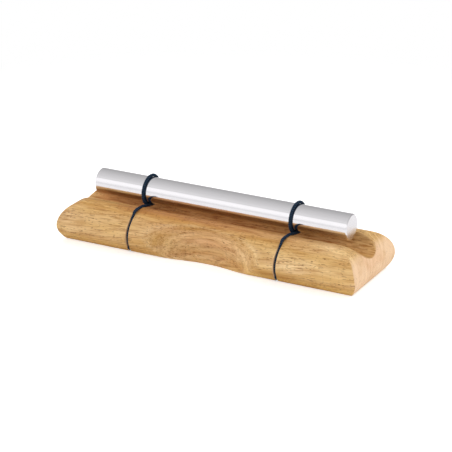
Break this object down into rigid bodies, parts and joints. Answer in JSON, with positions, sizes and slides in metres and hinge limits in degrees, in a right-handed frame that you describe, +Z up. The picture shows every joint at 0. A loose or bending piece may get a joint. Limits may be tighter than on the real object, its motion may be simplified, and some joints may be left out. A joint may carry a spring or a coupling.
{
  "type": "chime bar",
  "caption": "Chime bar: a polished aluminium rod slung on elastic cords over the trough of a shaped hardwood base with finger grips.",
  "frame": {"origin": "on the table, under the middle of the base", "axes": "+X along the rod to its right end, +Y to the rear, +Z up"},
  "size_m": [0.1986, 0.057, 0.0418],
  "materials": {
    "hardwood": "satin oiled",
    "polished_aluminium": "fine turned and polished",
    "elastic_cord": "twisted elastic cord"
  },
  "bodies": {
    "base": {"wood_base": "hardwood", "left_cord_front_run": "elastic_cord", "left_cord_front_span": "elastic_cord", "left_cord_rear_span": "elastic_cord", "left_cord_rear_run": "elastic_cord", "left_cord_knot": "elastic_cord", "right_cord_front_run": "elastic_cord", "right_cord_front_span": "elastic_cord", "right_cord_rear_span": "elastic_cord", "right_cord_rear_run": "elastic_cord", "right_cord_knot": "elastic_cord"},
    "hangers": {"left_cord_wrap": "elastic_cord", "right_cord_wrap": "elastic_cord"},
    "rod": {"chime_rod": "polished_aluminium"}
  },
  "joints": [
    {"name": "rod_bounce", "type": "slide", "parent": "base", "child": "hangers", "axis": [0, 0, 1], "range_m": [-0.004, 0.004], "stiffness_N_per_m": 360, "springref_m": 0.00253, "deforming": ["left_cord_front_span", "left_cord_rear_span", "right_cord_front_span", "right_cord_rear_span"]},
    {"name": "rod_roll", "type": "hinge", "parent": "hangers", "child": "rod", "pos_m": [0, 0, 0.0317], "axis": [1, 0, 0], "continuous": true}
  ]
}
